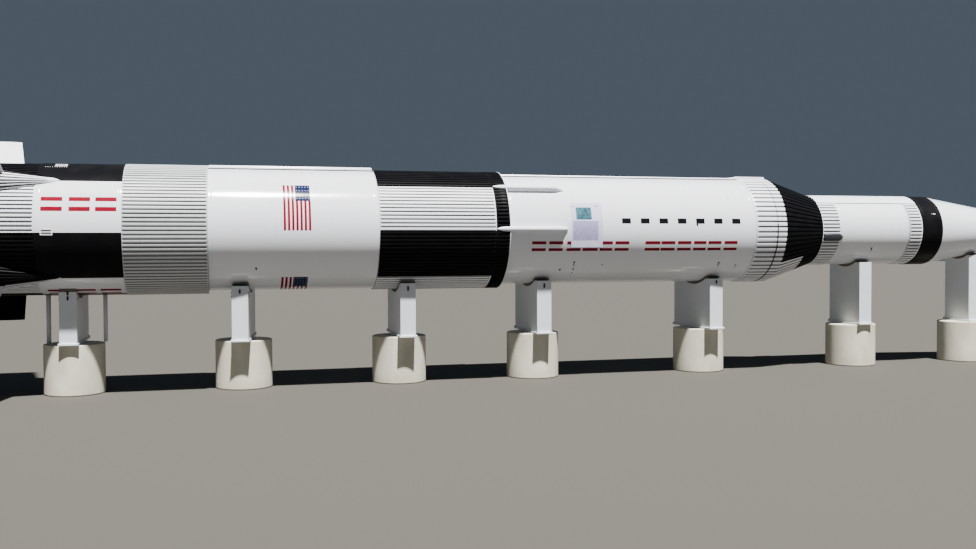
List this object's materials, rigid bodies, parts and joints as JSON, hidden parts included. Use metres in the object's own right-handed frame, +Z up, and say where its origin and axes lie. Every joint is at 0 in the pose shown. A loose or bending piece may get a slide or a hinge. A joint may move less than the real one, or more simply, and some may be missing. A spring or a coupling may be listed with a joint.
{
  "type": "large scale model rocket on plinths",
  "caption": "Display model of a staged space rocket lying level on round plinths with saddle posts, with ribbed skirts, gloss tanks, fins and an escape tower.",
  "frame": {"origin": "on the ground under the middle of the rocket, the bottom centre of the bounding box", "axes": "+X towards the nose along the rocket, +Y across it, +Z up"},
  "size_m": [11.8, 1.5372, 2.0836],
  "materials": {
    "gloss_paint": "bright white gloss enamel with black sectors on the first stage",
    "skirt_paint": "satin enamel in white and black sectors over corrugation",
    "silver_paint": "satin silver-grey paint over corrugation",
    "ring_paint": "gloss black enamel",
    "module_paint": "satin white enamel",
    "tower_paint": "satin white enamel",
    "pod_paint": "satin dark grey paint",
    "bell_metal": "weathered bare metal",
    "drum_paint": null,
    "post_paint": "satin white paint",
    "pad_rubber": "matt black rubber"
  },
  "bodies": {
    "root": {"adapter_cone": "gloss_paint", "command_module": "module_paint", "cone_interstage": "skirt_paint", "control_pod_1": "pod_paint", "control_pod_2": "pod_paint", "engine_bell_1": "bell_metal", "engine_bell_2": "bell_metal", "engine_bell_3": "bell_metal", "engine_bell_4": "bell_metal", "engine_bell_5": "bell_metal", "escape_motor": "tower_paint", "escape_tower": "tower_paint", "fin_1": "skirt_paint", "fin_2": "skirt_paint", "fin_3": "skirt_paint", "fin_4": "skirt_paint", "first_interstage": "skirt_paint", "fuel_tank": "gloss_paint", "instrument_ring": "ring_paint", "intertank": "silver_paint", "oxidiser_tank": "gloss_paint", "oxidiser_tunnel": "gloss_paint", "plinth_drum_1": "drum_paint", "plinth_drum_2": "drum_paint", "plinth_drum_3": "drum_paint", "plinth_drum_4": "drum_paint", "plinth_drum_5": "drum_paint", "plinth_drum_6": "drum_paint", "plinth_drum_7": "drum_paint", "plinth_pad_1": "pad_rubber", "plinth_pad_2": "pad_rubber", "plinth_pad_3": "pad_rubber", "plinth_pad_4": "pad_rubber", "plinth_pad_5": "pad_rubber", "plinth_pad_6": "pad_rubber", "plinth_pad_7": "pad_rubber", "plinth_post_1": "post_paint", "plinth_post_2": "post_paint", "plinth_post_3": "post_paint", "plinth_post_4": "post_paint", "plinth_post_5": "post_paint", "plinth_post_6": "post_paint", "plinth_post_7": "post_paint", "second_forward_skirt": "skirt_paint", "second_stage_tank": "gloss_paint", "second_stage_tunnel": "gloss_paint", "separation_ring": "ring_paint", "service_module": "module_paint", "side_bar_1": "post_paint", "side_bar_2": "post_paint", "tail_fairing_1": "skirt_paint", "tail_fairing_2": "skirt_paint", "tail_fairing_3": "skirt_paint", "tail_fairing_4": "skirt_paint", "third_aft_skirt": "skirt_paint", "third_forward_skirt": "skirt_paint", "third_stage_tank": "gloss_paint", "third_stage_tunnel": "gloss_paint", "thrust_skirt": "skirt_paint"}
  },
  "joints": []
}
